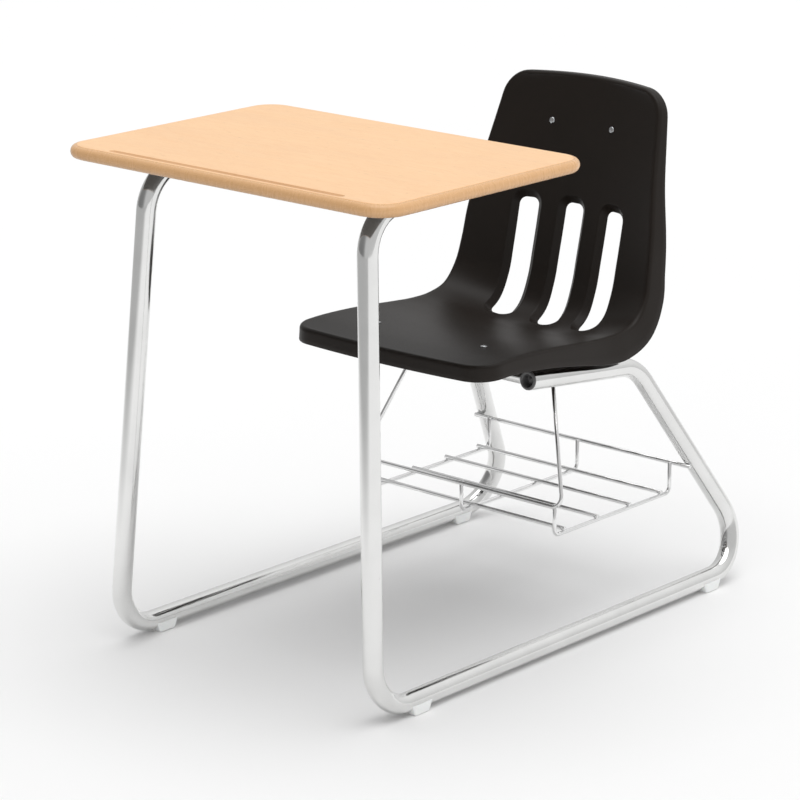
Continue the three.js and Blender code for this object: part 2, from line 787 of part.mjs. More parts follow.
const FLOOR_WIRES = 4;
const FLOOR_WIRE_FRONT_Y = 87;
const FLOOR_WIRE_PITCH = 76;
const FLOOR_WIRE_REACH = BASKET_HALF_WIDTH + 4;
for (let i = 0; i < FLOOR_WIRES; i++) {
  const y = FLOOR_WIRE_FRONT_Y + i * FLOOR_WIRE_PITCH;
  const ends = [
    [-FLOOR_WIRE_REACH, y, BASKET_FLOOR_Z],
    [FLOOR_WIRE_REACH, y, BASKET_FLOOR_Z],
  ];
  wire(`basket_floor_wire_${i + 1}`, ends, 0);
}

// Glides: plastic saddles that clip up round the runners.
function glideGeometry() {
  const trough = TUBE_RADIUS + GAP;
  const lip = Math.asin((RUNNER_Z - GLIDE_HEIGHT) / trough);
  const half = GLIDE_HALF_WIDTH;
  const chamfer = 3;
  const shape = new THREE.Shape();
  shape.moveTo(half, GLIDE_HEIGHT);
  shape.lineTo(trough * Math.cos(lip), GLIDE_HEIGHT);
  shape.absarc(0, RUNNER_Z, trough, -lip, -Math.PI + lip, true);
  shape.lineTo(-half, GLIDE_HEIGHT);
  shape.lineTo(-half, chamfer);
  shape.lineTo(-half + chamfer, 0);
  shape.lineTo(half - chamfer, 0);
  shape.lineTo(half, chamfer);
  const geometry = new THREE.ExtrudeGeometry(shape, {
    depth: GLIDE_LENGTH,
    bevelEnabled: false,
    curveSegments: 12,
  });
  return geometry.rotateX(Math.PI / 2).translate(0, GLIDE_LENGTH / 2, 0);
}

for (const { name, sign } of SIDES) {
  for (const [place, y] of [["front", GLIDE_FRONT_Y], ["rear", GLIDE_BACK_Y]]) {
    add(`glide_${place}_${name}`, glideGeometry(), glidePlastic).position.set(sign * RUNNER_X, y, 0);
  }
}

export default object;
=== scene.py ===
import math

import bmesh
import bpy
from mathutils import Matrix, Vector


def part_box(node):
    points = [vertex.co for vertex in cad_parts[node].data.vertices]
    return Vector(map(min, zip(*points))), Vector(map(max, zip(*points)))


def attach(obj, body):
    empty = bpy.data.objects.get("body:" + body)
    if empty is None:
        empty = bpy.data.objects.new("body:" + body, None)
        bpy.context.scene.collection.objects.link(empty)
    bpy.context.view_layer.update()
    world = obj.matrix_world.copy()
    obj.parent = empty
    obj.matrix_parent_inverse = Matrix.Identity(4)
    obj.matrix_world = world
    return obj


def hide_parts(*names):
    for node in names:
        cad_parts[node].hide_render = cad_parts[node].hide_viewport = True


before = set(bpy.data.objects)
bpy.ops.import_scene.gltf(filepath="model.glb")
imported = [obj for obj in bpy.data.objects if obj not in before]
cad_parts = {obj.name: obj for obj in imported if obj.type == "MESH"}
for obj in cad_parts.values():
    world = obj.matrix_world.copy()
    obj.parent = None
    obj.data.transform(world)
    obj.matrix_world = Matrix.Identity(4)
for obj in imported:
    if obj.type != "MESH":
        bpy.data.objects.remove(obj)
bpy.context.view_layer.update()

MM = 0.001
SIDES = (("left", 1), ("right", -1))

# ---------------------------------------------------------------- camera, light and floor
AZIMUTH = math.radians(41.6)
ELEVATION = math.radians(16.15)
TARGET = Vector((0.0308, -0.1025, 0.3481))
DISTANCE = 4.49
LENS = 144.2

away = Vector((
    math.sin(AZIMUTH) * math.cos(ELEVATION),
    -math.cos(AZIMUTH) * math.cos(ELEVATION),
    math.sin(ELEVATION),
))
camera_data = bpy.data.cameras.new("camera")
camera_data.lens = LENS
camera_data.sensor_width = 36
camera_data.clip_end = 200
camera = bpy.data.objects.new("camera", camera_data)
camera.location = TARGET + away * DISTANCE
camera.rotation_mode = "QUATERNION"
camera.rotation_quaternion = (-away).to_track_quat("-Z", "Y")
bpy.context.scene.collection.objects.link(camera)
bpy.context.scene.camera = camera
bpy.context.scene.view_settings.view_transform = "Standard"


# One very wide, soft light almost straight above.
SOFTBOX_TOWARDS = Vector((0.05, -0.06, 1.0))
SOFTBOX_STRENGTH = 1.32
SOFTBOX_SPREAD = math.radians(58)

softbox_data = bpy.data.lights.new("overhead_softbox", "SUN")
softbox_data.energy = SOFTBOX_STRENGTH
softbox_data.angle = SOFTBOX_SPREAD
softbox = bpy.data.objects.new("overhead_softbox", softbox_data)
softbox.rotation_mode = "QUATERNION"
softbox.rotation_quaternion = SOFTBOX_TOWARDS.to_track_quat("Z", "Y")
bpy.context.scene.collection.objects.link(softbox)


# ---------------------------------------------------------------- node materials
def srgb(red, green, blue):
    def linear(value):
        value /= 255
        return value / 12.92 if value <= 0.04045 else ((value + 0.055) / 1.055) ** 2.4
    return (linear(red), linear(green), linear(blue), 1.0)


def scaled(color, factor, lift=0.0):
    """A darker or lighter version of a colour."""
    return tuple(factor * channel + lift for channel in color[:3]) + (1,)


class Shader:
    """A material's node tree, with short calls for the nodes that the finishes share."""

    def __init__(self, name, color, roughness, **values):
        self.material = bpy.data.materials.new(name)
        self.material.use_nodes = True
        self.tree = self.material.node_tree
        self.surface = self.tree.nodes["Principled BSDF"]
        self.surface.inputs["Base Color"].default_value = color
        self.surface.inputs["Roughness"].default_value = roughness
        for key, value in values.items():
            self.surface.inputs[key.replace("_", " ")].default_value = value
        self.coordinates = self.node("ShaderNodeTexCoord").outputs["Object"]

    def node(self, kind, inputs=(), **settings):
        made = self.tree.nodes.new(kind)
        for key, value in settings.items():
            setattr(made, key, value)
        for key, value in dict(inputs).items():
            if isinstance(value, bpy.types.NodeSocket):
                self.tree.links.new(value, made.inputs[key])
            else:
                made.inputs[key].default_value = value
        return made

    def stretched(self, scale):
        mapping = self.node("ShaderNodeMapping", {"Vector": self.coordinates, "Scale": scale})
        return mapping.outputs["Vector"]

    def noise(self, scale, detail=4.0, roughness=0.55, distortion=0.0, grain=(1, 1, 1)):
        return self.node("ShaderNodeTexNoise", {
            "Vector": self.stretched(grain), "Scale": scale, "Detail": detail,
            "Roughness": roughness, "Distortion": distortion,
        }).outputs["Fac"]

    def spread(self, value, low, high, to_low=0.0, to_high=1.0):
        return self.node("ShaderNodeMapRange", {
            "Value": value, "From Min": low, "From Max": high, "To Min": to_low, "To Max": to_high,
        }).outputs["Result"]

    def ramp(self, value, stops):
        ramp = self.node("ShaderNodeValToRGB", {"Fac": value})
        elements = ramp.color_ramp.elements
        while len(elements) < len(stops):
            elements.new(0.5)
        for element, (position, color) in zip(elements, stops):
            element.position = position
            element.color = color
        return ramp.outputs["Color"]

    def mix(self, factor, first, second):
        mixed = self.node("ShaderNodeMix", {0: factor, 6: first, 7: second}, data_type="RGBA")
        return mixed.outputs[2]

    def edges(self, low, high):
        """Where the surface turns outward, for wear along corners."""
        return self.spread(self.node("ShaderNodeNewGeometry").outputs["Pointiness"], low, high)

    def dot(self, vector, direction):
        made = self.node("ShaderNodeVectorMath", {0: vector, 1: direction}, operation="DOT_PRODUCT")
        return made.outputs["Value"]

    def facing_down(self):
        """How far the surface turns downward, for painted shade on the underside of an edge."""
        return self.dot(self.node("ShaderNodeNewGeometry").outputs["Normal"], (0, 0, -1))

    def color(self, socket):
        self.tree.links.new(socket, self.surface.inputs["Base Color"])

    def gloss(self, value, low, high, to_low, to_high):
        socket = self.spread(value, low, high, to_low, to_high)
        self.tree.links.new(socket, self.surface.inputs["Roughness"])

    def bumps(self, *layers):
        """Each layer is (height, strength, distance in metres)."""
        normal = None
        for height, strength, distance in layers:
            bump = self.node("ShaderNodeBump", {
                "Height": height, "Strength": strength, "Distance": distance,
            })
            if normal:
                self.tree.links.new(normal, bump.inputs["Normal"])
            normal = bump.outputs["Normal"]
        self.tree.links.new(normal, self.surface.inputs["Normal"])
        return self.material


def maple_material(name, tones, grain_along, speck_along, low, shine):
    """Pale maple: broad flame, growth rings, thin wavy veins, fine fibres and dark specks, with painted
    shade where the surface turns downward.
    """
    light, middle, dark = tones
    shader = Shader(name, middle, low, Specular_IOR_Level=shine)
    flame = shader.noise(2.4, 5, 0.6, 1.4, grain_along)
    growth = shader.node("ShaderNodeTexWave", {
        "Vector": shader.stretched(grain_along), "Scale": 1.7, "Distortion": 7.0,
        "Detail": 3.0, "Detail Scale": 1.2,
    }, bands_direction="Y").outputs["Fac"]
    vein = shader.noise(7.0, 7, 0.72, 1.9, grain_along)
    fibre = shader.noise(9.0, 6, 0.7, 0.2, speck_along)
    speck = shader.noise(26.0, 3, 0.55, 0.0, speck_along)
    flames = shader.ramp(flame, [(0.28, dark), (0.5, middle), (0.74, light)])
    rings = shader.ramp(growth, [(0.0, dark), (0.55, middle), (1.0, light)])
    veins = shader.ramp(vein, [(0.47, middle), (0.5, dark), (0.53, middle)])
    fibres = shader.ramp(fibre, [(0.36, dark), (0.62, light)])
    toned = shader.mix(0.12, flames, rings)
    toned = shader.mix(0.6, toned, veins)
    toned = shader.mix(0.2, toned, fibres)
    # Dark specks and the painted shade on downward faces share this darker tone.
    speck_and_shade_tone = scaled(dark, 0.6)
    toned = shader.mix(shader.spread(speck, 0.68, 0.8), toned, speck_and_shade_tone)
    # Painted shade: faces that turn downward are mixed toward the darker tone.
    painted_underside_shade = shader.spread(shader.facing_down(), 0.1, 1.0)
    shader.color(shader.mix(painted_underside_shade, toned, speck_and_shade_tone))
    shader.gloss(flame, 0.3, 0.7, low, low + 0.1)
    return shader.bumps((fibre, 0.12, 0.0002), (speck, 0.08, 0.0001))


def chrome_material(name, color, low, high, scratch):
    """Polished plate with a faint haze, small dull spots and fine polishing lines."""
    shader = Shader(name, color, low, Metallic=1.0)
    haze = shader.noise(14.0, 5, 0.6, 0.3)
    polish = shader.noise(900.0, 3, 0.6, 0.0, scratch)
    tone = shader.ramp(haze, [(0.3, scaled(color, 0.93)), (0.62, color)])
    spots = shader.spread(shader.noise(210.0, 2, 0.5), 0.74, 0.83)
    shader.color(shader.mix(spots, tone, scaled(color, 0.72)))
    shader.gloss(haze, 0.35, 0.75, low, high)
    return shader.bumps((haze, 0.05, 0.0006), (polish, 0.03, 0.00005))


def moulded_material(name, base, lighter, low, high, pebble, pebble_strength, **values):
    """Moulded plastic: slight mottling, a pebbled skin, and corners rubbed lighter."""
    shader = Shader(name, base, low, **values)
    mottle = shader.noise(7.0, 4, 0.55, 0.4)
    grain = shader.noise(pebble, 3, 0.6)
    ripple = shader.noise(22.0, 2, 0.5)
    tone = shader.ramp(mottle, [(0.3, base), (0.75, lighter)])
    worn = scaled(lighter, 1.7, 0.004)
    shader.color(shader.mix(shader.edges(0.56, 0.68), tone, worn))
    shader.gloss(grain, 0.3, 0.7, low, high)
    return shader.bumps((grain, pebble_strength, 0.00025), (ripple, 0.04, 0.001))


FACE_GRAIN = ((1.6, 6.0, 6.0), (2.0, 14.0, 14.0))
EDGE_GRAIN = ((40.0, 40.0, 14.0), (70.0, 70.0, 40.0))
maple_top = maple_material(
    "maple_laminate", (srgb(255, 216, 171), srgb(255, 210, 162), srgb(248, 197, 146)),
    *FACE_GRAIN, 0.34, 0.28,
)
# The edge's tones are darker than the face's: painted shade, as the edge is the same maple as the face.
maple_edge = maple_material(
    "maple_edge", (srgb(233, 187, 137), srgb(230, 182, 131), srgb(226, 176, 125)),
    *EDGE_GRAIN, 0.22, 0.5,
)
# The groove's darker tones are painted shade inside the groove.
maple_groove_painted_shade = maple_material(
    "maple_groove_painted_shade", (srgb(236, 190, 145), srgb(228, 182, 137), srgb(218, 170, 124)),
    *FACE_GRAIN, 0.34, 0.28,
)
chrome = chrome_material("chrome_plate", srgb(232, 232, 231), 0.1, 0.17, (1, 0.06, 1))
chrome_wire = chrome_material("chrome_wire", srgb(238, 238, 238), 0.12, 0.2, (0.08, 1, 1))
weld_metal = chrome_material("chrome_weld", srgb(222, 223, 224), 0.2, 0.34, (1, 1, 1))
rivet_metal = chrome_material("rivet_aluminium", srgb(196, 198, 200), 0.26, 0.4, (1, 1, 0.1))
screw_metal = chrome_material("screw_zinc", srgb(178, 180, 182), 0.24, 0.38, (1, 1, 0.1))
shell_plastic = moulded_material(
    "shell_plastic", srgb(28, 22, 17), srgb(32, 25, 20), 0.4, 0.5, 820.0, 0.14,
    Specular_IOR_Level=0.25,
)
plug_plastic = moulded_material(
    "plug_plastic", srgb(84, 83, 83), srgb(100, 99, 99), 0.3, 0.42, 500.0, 0.08,
)
glide_plastic = moulded_material(
    "glide_plastic", srgb(251, 251, 249), srgb(254, 254, 253), 0.28, 0.42, 400.0, 0.06,
    Subsurface_Weight=0.05,
)
backer_sheet = moulded_material(
    "backer_sheet", srgb(74, 70, 66), srgb(88, 83, 78), 0.5, 0.66, 300.0, 0.1,
)


def floor_material():
    """Pale floor paint, with painted shade far ahead of the desk, where the chrome reflects it."""
    shader = Shader("floor_paint", srgb(248, 248, 248), 0.9, Specular_IOR_Level=0.1)
    cloud = shader.noise(0.8, 2, 0.5)
    paint = shader.ramp(cloud, [(0.2, srgb(247, 247, 247)), (0.8, srgb(249, 249, 249))])
    # Painted shade: the floor turns grey far ahead of the desk, where the studio light falls off.
    shade = shader.spread(shader.dot(shader.coordinates, (-0.6, -0.8, 0)), 1.0, 2.4)
    shader.color(shader.mix(shade, paint, srgb(182, 182, 182)))
    return shader.bumps((shader.noise(180.0, 2, 0.5), 0.03, 0.0003))


WORLD_STRENGTH = 0.875
BRIGHT_SIDE = (0.1, 0.72, 0.69)
FLAT_SIDE = (-0.60, -0.80, 0.05)


def studio_world():
    """A pale studio: brighter high up behind the chair, with one grey flat ahead of the desk."""
    world = bpy.data.worlds.new("studio")
    bpy.context.scene.world = world
    world.use_nodes = True
    nodes, links = world.node_tree.nodes, world.node_tree.links
    direction = nodes.new("ShaderNodeTexCoord").outputs["Generated"]

    def facing(towards, stops):
        dot = nodes.new("ShaderNodeVectorMath")
        dot.operation = "DOT_PRODUCT"
        dot.inputs[1].default_value = Vector(towards).normalized()
        links.new(direction, dot.inputs[0])
        shift = nodes.new("ShaderNodeMapRange")
        shift.inputs["From Min"].default_value = -1
        links.new(dot.outputs["Value"], shift.inputs["Value"])
        ramp = nodes.new("ShaderNodeValToRGB")
        elements = ramp.color_ramp.elements
        while len(elements) < len(stops):
            elements.new(0.5)
        for element, (position, level) in zip(elements, stops):
            element.position = position
            element.color = (level, level, level, 1)
        links.new(shift.outputs["Result"], ramp.inputs["Fac"])
        return ramp.outputs["Color"]

    dome = facing(BRIGHT_SIDE, [(0.0, 0.66), (0.75, 0.7), (0.93, 0.94), (1.0, 1.08)])
    flat = facing(FLAT_SIDE, [(0.0, 1.0), (0.78, 1.0), (0.93, 0.42), (1.0, 0.36)])
    both = nodes.new("ShaderNodeMix")
    both.data_type = "RGBA"
    both.blend_type = "MULTIPLY"
    both.inputs[0].default_value = 1.0
    links.new(dome, both.inputs[6])
    links.new(flat, both.inputs[7])
    links.new(both.outputs[2], nodes["Background"].inputs["Color"])
    nodes["Background"].inputs["Strength"].default_value = WORLD_STRENGTH


studio_world()


# ---------------------------------------------------------------- mesh building
def point(x, y, z):
    return Vector((x, y, z)) * MM


def finish_mesh(name, mesh_data, materials, sharp=35):
    """An object from a bmesh, its faces turned outward and smooth up to an angle."""
    bmesh.ops.recalc_face_normals(mesh_data, faces=mesh_data.faces[:])
    mesh = bpy.data.meshes.new(name)
    mesh_data.to_mesh(mesh)
    mesh_data.free()
    for material in materials:
        mesh.materials.append(material)
    for polygon in mesh.polygons:
        polygon.use_smooth = True
    mesh.set_sharp_from_angle(angle=math.radians(sharp))
    made = bpy.data.objects.new(name, mesh)
    bpy.context.scene.collection.objects.link(made)
    return made


def piece(made, slot, *nodes):
    """A finished piece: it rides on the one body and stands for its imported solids."""
    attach(made, "root")
    if nodes:
        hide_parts(*nodes)
    return made


def bridge(mesh_data, first, second):
    """Quads between two rings of equal length."""
    count = len(first)
    for k in range(count):
        n = (k + 1) % count
        corners = [first[k], first[n], second[n], second[k]]
        if len(set(corners)) == 4:
            mesh_data.faces.new(corners)


def add_rings(mesh_data, rings, loop=False, caps=(True, True)):
    """Skins a list of point rings, in metres."""
    made = [[mesh_data.verts.new(p) for p in ring] for ring in rings]
    for first, second in zip(made, made[1:]):
        bridge(mesh_data, first, second)
    if loop:
        bridge(mesh_data, made[-1], made[0])
    else:
        if caps[0]:
            mesh_data.faces.new(made[0])
        if caps[1]:
            mesh_data.faces.new(made[-1])
    return made


def bent_line(corners, radius, steps):
    """The stations of a centre line, each inner corner rounded to the bend radius."""
    points = [Vector(c) for c in corners]
    stations = [points[0]]
    for before, corner, after in zip(points, points[1:], points[2:]):
        back = (before - corner).normalized()
        ahead = (after - corner).normalized()
        half = back.angle(ahead) / 2
        sweep = math.pi - 2 * half
        centre = (back + ahead).normalized() * (radius / math.sin(half)) + corner
        setback = radius / math.tan(half)
        start = corner + back * setback - centre
        end = corner + ahead * setback - centre
        for k in range(steps + 1):
            angle = sweep * k / steps
            from_start = start * (math.sin(sweep - angle) / math.sin(sweep))
            from_end = end * (math.sin(angle) / math.sin(sweep))
            stations.append(centre + from_start + from_end)
    stations.append(points[-1])
    return stations


def frames_along(stations):
    """A steady pair of cross directions at each station."""
    tangents = []
    for k in range(len(stations)):
        before = stations[max(k - 1, 0)]
        after = stations[min(k + 1, len(stations) - 1)]
        tangents.append((after - before).normalized())
    side = tangents[0].orthogonal().normalized()
    found = []
    for tangent in tangents:
        side = (side - tangent * side.dot(tangent)).normalized()
        found.append((tangent, side, tangent.cross(side)))
    return found


def ring_at(centre, frame_axes, radius, sides, shift=0.0):
    """A round ring in metres, shifted along its axis."""
    tangent, side, up = frame_axes
    ring = []
    for k in range(sides):
        angle = 2 * math.pi * k / sides
        spoke = side * math.cos(angle) + up * math.sin(angle)
        ring.append((centre + tangent * shift + spoke * radius) * MM)
    return ring


def side_rings(stations, frames, radius, sides, lip):
    """One ring at each station, the first and last drawn in by the lip."""
    last = len(stations) - 1
    rings = []
    for k, (station, axes) in enumerate(zip(stations, frames)):
        shift = lip if k == 0 else -lip if k == last else 0.0
        rings.append(ring_at(station, axes, radius, sides, shift))
    return rings


def rod_rings(stations, radius, sides, lip):
    """Rings along the outside of a tube or rod, with a broken edge at both ends."""
    frames = frames_along(stations)
    first = ring_at(stations[0], frames[0], radius - lip, sides)
    last = ring_at(stations[-1], frames[-1], radius - lip, sides)
    return [first] + side_rings(stations, frames, radius, sides, lip) + [last]


def tube_rings(stations, radius, wall, sides, lip=0.5):
    """Rings of an open tube, out along its outside and back along its bore."""
    frames = frames_along(stations)
    bore = radius - wall
    first = ring_at(stations[0], frames[0], bore + 0.3, sides)
    last = ring_at(stations[-1], frames[-1], bore + 0.3, sides)
    inside = side_rings(stations, frames, bore, sides, lip)
    return [first] + rod_rings(stations, radius, sides, lip) + [last] + inside[::-1]


def tube(name, stations, radius, wall, material, sides=40):
    mesh_data = bmesh.new()
    add_rings(mesh_data, tube_rings(stations, radius, wall, sides), loop=True)
    return finish_mesh(name, mesh_data, [material], 50)


def turned(mesh_data, profile, origin, axis, sides=28):
    """A turned piece: each profile point is (radius, height) in millimetres along the axis."""
    axis = Vector(axis).normalized()
    side = axis.orthogonal().normalized()
    frame_axes = (axis, side, axis.cross(side))
    rings = [ring_at(Vector(origin), frame_axes, max(r, 0.02), sides, h) for r, h in profile]
    add_rings(mesh_data, rings)


def lump_ring(mesh_data, path, radius, ripple, sides=8):
    """A weld bead round a closed path, with the ripples the torch leaves."""
    count = len(path)
    rings = []
    for k, centre in enumerate(path):
        tangent = (path[(k + 1) % count] - path[k - 1]).normalized()
        side = tangent.orthogonal().normalized()
        thick = radius * (1 + ripple * abs(math.sin(k * math.pi / 2.5)))
        rings.append(ring_at(centre, (tangent, side, tangent.cross(side)), thick, sides))
    # Neighbouring rings start at their nearest points, so the skin doesn't twist.
    for k in range(1, count):
        start = min(range(sides), key=lambda s: (rings[k][s] - rings[k - 1][0]).length)
        rings[k] = rings[k][start:] + rings[k][:start]
    made = [[mesh_data.verts.new(p) for p in ring] for ring in rings]
    for first, second in zip(made, made[1:]):
        bridge(mesh_data, first, second)
    start = min(range(sides), key=lambda s: (rings[0][s] - rings[-1][0]).length)
    bridge(mesh_data, made[-1], made[0][start:] + made[0][:start])


def blob(mesh_data, centre, axis, radius, length, sides=12):
    """A small weld nugget between two crossing wires."""
    angles = [math.pi * k / 6 for k in range(7)]
    profile = [(radius * math.sin(a), -length / 2 * math.cos(a)) for a in angles]
    turned(mesh_data, profile, centre, axis, sides)


# ---------------------------------------------------------------- panels with rounded openings
class Window:
    """A block of a panel's grid that gives way to rings round a rounded outline."""

    def __init__(self, rows, columns, centre, half, corner, rings, end_slope=1.0):
        self.rows = rows
        self.columns = columns
        self.centre = Vector(centre)
        self.core = (half[0] - corner, half[1] - corner)
        self.corner = corner
        self.rings = rings
        self.end_slope = end_slope

    def holds_cell(self, row, column):
        return self.rows[0] <= row < self.rows[1] and self.columns[0] <= column < self.columns[1]

    def holds_point(self, row, column):
        return self.rows[0] < row < self.rows[1] and self.columns[0] < column < self.columns[1]

    def at_distance(self, place, distance):
        """The point that far outside the outline, on the line that leaves it square."""
        offset = Vector(place) - self.centre
        signs = [math.copysign(1, offset[k]) for k in (0, 1)]
        core = [min(abs(offset[k]), self.core[k]) for k in (0, 1)]
        outward = Vector([abs(offset[k]) - core[k] for k in (0, 1)]).normalized()
        reach = (self.corner + distance, self.corner + distance * self.end_slope)
        return [self.centre[k] + signs[k] * (core[k] + outward[k] * reach[k]) for k in (0, 1)]


def walk_round(rows, columns):
    """Grid places once round a block: first row, last column, last row, first column."""
    (r0, r1), (c0, c1) = rows, columns
    places = [(r0, c) for c in range(c0, c1)]
    places += [(r, c1) for r in range(r0, r1)]
    places += [(r1, c) for c in range(c1, c0, -1)]
    places += [(r, c0) for r in range(r1, r0, -1)]
    return places


def panel_grid(mesh_data, rows, column_at, count, windows, place, depth):
    """One face of a panel. Returns its vertices by grid place."""
    verts = {}
    for row, along in enumerate(rows):
        for column in range(count):
            if not any(w.holds_point(row, column) for w in windows):
                at = place(column_at(along, column), along, depth)
                verts[row, column] = mesh_data.verts.new(at)
    for row in range(len(rows) - 1):
        for column in range(count - 1):
            if not any(w.holds_cell(row, column) for w in windows):
                mesh_data.faces.new((
                    verts[row, column], verts[row, column + 1],
                    verts[row + 1, column + 1], verts[row + 1, column],
                ))
    return verts


def window_rings(mesh_data, window, rows, column_at, place, upper):
    """Skins a window's rings inward from the grid. Returns the innermost ring and its walk."""
    walk = walk_round(window.rows, window.columns)
    previous = [upper[w] for w in walk]
    for distance, depth in window.rings:
        ring = []
        for row, column in walk:
            x, along = window.at_distance((column_at(rows[row], column), rows[row]), distance)
            ring.append(mesh_data.verts.new(place(x, along, depth)))
        bridge(mesh_data, previous, ring)
        previous = ring
    return previous, walk


def corner_inset(distance, radius):
    """How far a rounded corner draws the side in, at a distance from the end."""
    rest = radius - min(distance, radius)
    return radius - math.sqrt(max(radius * radius - rest * rest, 0))


def eased_rows(start, end, radius_start, radius_end, corner_steps, pitch, stops=()):
    """Row places with fine steps in both rounded corners and exact rows at the stops."""
    rows = [start + radius_start * (1 - math.cos(k / corner_steps * math.pi / 2))
            for k in range(corner_steps + 1)]
    marks = sorted(s for s in stops if s > rows[-1] + 1) + [end - radius_end]
    for mark in marks:
        first = rows[-1]
        steps = max(1, round((mark - first) / pitch))
        rows += [first + (mark - first) * k / steps for k in range(1, steps + 1)]
    rows += [end - radius_end * (1 - math.sin(k / corner_steps * math.pi / 2))
             for k in range(1, corner_steps + 1)]
    return rows


# ---------------------------------------------------------------- desktop
desk_low, desk_high = (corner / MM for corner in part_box("desktop"))
DESK_CORNER = 43
EDGE = 10  # the flat writing face ends this far inside the edge
CORNER_STEPS = 12
DESK_ROW_STEPS = 22
GROOVE_HALF = (214, 5.2)
GROOVE_INSET = 18.5
GROOVE_RADIUS = 6
GROOVE_DEPTH = 3
GROOVE_BLOCK = (226, GROOVE_INSET - EDGE)  # half size of the grid block that gives way to the groove
GROOVE_COLUMNS = 60
SIDE_COLUMNS = 7
GROOVE_LIP = ((2.5, 0.0), (1.2, 0.0), (0.5, 0.05), (0.0, 0.25))
# The moulded edge, as (out, down) from the face's border: a fine step, then a full bullnose.
EDGE_STEP = ((0.5, 0.0), (1.1, 0.6), (1.7, 1.1), (2.2, 1.05), (2.7, 0.85))
BULLNOSE_START = EDGE_STEP[-1][0]
BULLNOSE_MIDDLE = 9.4
BULLNOSE_HALF = 8.6
BULLNOSE_STEPS = 14


def edge_profile():
    """The step and the bullnose, down to the underside."""
    profile = list(EDGE_STEP)
    for k in range(1, BULLNOSE_STEPS + 1):
        angle = math.pi * k / BULLNOSE_STEPS
        profile.append((
            BULLNOSE_START + (EDGE - BULLNOSE_START) * math.sin(angle),
            BULLNOSE_MIDDLE - BULLNOSE_HALF * math.cos(angle),
        ))
    return profile


def groove_rings():
    """The groove's rounded section, from its lip to its floor."""
    half = GROOVE_HALF[1]
    rings = list(GROOVE_LIP)
    for k in range(1, 6):
        radius = half * (1 - k / 5.5)
        rings.append((radius - half, math.sqrt(GROOVE_RADIUS**2 - radius**2) - GROOVE_DEPTH))
    return rings


def desktop_piece():
    mesh_data = bmesh.new()
    front, back = desk_low.y + EDGE, desk_high.y - EDGE
    top = desk_high.z
    face_half = desk_high.x - EDGE
    face_corner = DESK_CORNER - EDGE
    groove_y = desk_low.y + GROOVE_INSET
    low, high = groove_y - GROOVE_BLOCK[1], groove_y + GROOVE_BLOCK[1]
    eased = [math.sin(k / CORNER_STEPS * math.pi / 2) for k in range(1, CORNER_STEPS + 1)]
    rows = [front + face_corner * (1 - e) for e in [*reversed(eased), 0]]
    rows = [r for r in rows if abs(r - low) > 1.2 and abs(r - high) > 1.5]
    rows += [low, groove_y - 4, groove_y, groove_y + 4, high]
    rows = sorted(set(round(r, 3) for r in rows))
    first = rows[-1]
    pitch = (back - face_corner - first) / DESK_ROW_STEPS
    rows += [first + pitch * k for k in range(1, DESK_ROW_STEPS + 1)]
    rows += [back - face_corner * (1 - e) for e in eased]
    block_rows = (rows.index(round(low, 3)), rows.index(round(high, 3)))

    block_half = GROOVE_BLOCK[0]
    inner = [-block_half + 2 * block_half * k / GROOVE_COLUMNS for k in range(GROOVE_COLUMNS + 1)]
    outer = [
        block_half + (face_half - block_half) * k / SIDE_COLUMNS for k in range(1, SIDE_COLUMNS + 1)
    ]
    base = [-x for x in reversed(outer)] + inner + outer

    def column_at(y, column):
        x = base[column]
        if abs(x) <= block_half:
            return x
        half = face_half - corner_inset(y - front, face_corner) - corner_inset(back - y, face_corner)
        share = (abs(x) - block_half) / (face_half - block_half)
        return math.copysign(block_half + share * (half - block_half), x)

    def place(x, y, depth):
        return point(x, y, top - depth)

    window = Window(
        block_rows, (SIDE_COLUMNS, SIDE_COLUMNS + GROOVE_COLUMNS),
        (0, groove_y), GROOVE_HALF, GROOVE_HALF[1], groove_rings(),
    )
    upper = panel_grid(mesh_data, rows, column_at, len(base), [window], place, 0.0)
    mesh_data.faces.new(window_rings(mesh_data, window, rows, column_at, place, upper)[0])
    # Faces sunk into the groove take the groove finish, which paints shade there.
    for face in mesh_data.faces:
        spot = face.calc_center_median() / MM
        in_outline = abs(spot.x) < GROOVE_HALF[0] and abs(spot.y - groove_y) < GROOVE_HALF[1]
        if in_outline and top - spot.z > 0.35:
            face.material_index = 3

    walk = walk_round((0, len(rows) - 1), (0, len(base) - 1))
    places = [Vector((column_at(rows[r], c), rows[r])) for r, c in walk]
    straight_x = face_half - face_corner
    outward = []
    for spot in places:
        inside = Vector((
            max(-straight_x, min(straight_x, spot.x)),
            max(front + face_corner, min(back - face_corner, spot.y)),
        ))
        outward.append((spot - inside).normalized())
    previous = [upper[w] for w in walk]
    edge_faces_from = len(mesh_data.faces) + 2 * len(walk)
    for out, down in edge_profile():
        ring = [
            mesh_data.verts.new(point(*(spot + way * out), top - down))
            for spot, way in zip(places, outward)
        ]
        bridge(mesh_data, previous, ring)
        previous = ring
    mesh_data.faces.ensure_lookup_table()
    for face in mesh_data.faces[edge_faces_from:]:
        face.material_index = 1
    mesh_data.faces.new(previous).material_index = 2
    finishes = [maple_top, maple_edge, backer_sheet, maple_groove_painted_shade]
    return piece(finish_mesh("desktop_board", mesh_data, finishes, 60), "maple_top", "desktop")


desktop_piece()

# ---------------------------------------------------------------- chrome side frames
TUBE_RADIUS = 14
TUBE_WALL = 1.6
BEND = 63
SEAT_TUBE_X = 162
DESK_TUBE_X = 200
DESK_TUBE_Z = 686.7
RUNNER_X = 243
RUNNER_Z = 17
SEAT_TUBE_BACK = Vector((0, 264, 346))
SEAT_TUBE_FRONT = Vector((0, 21, 375))


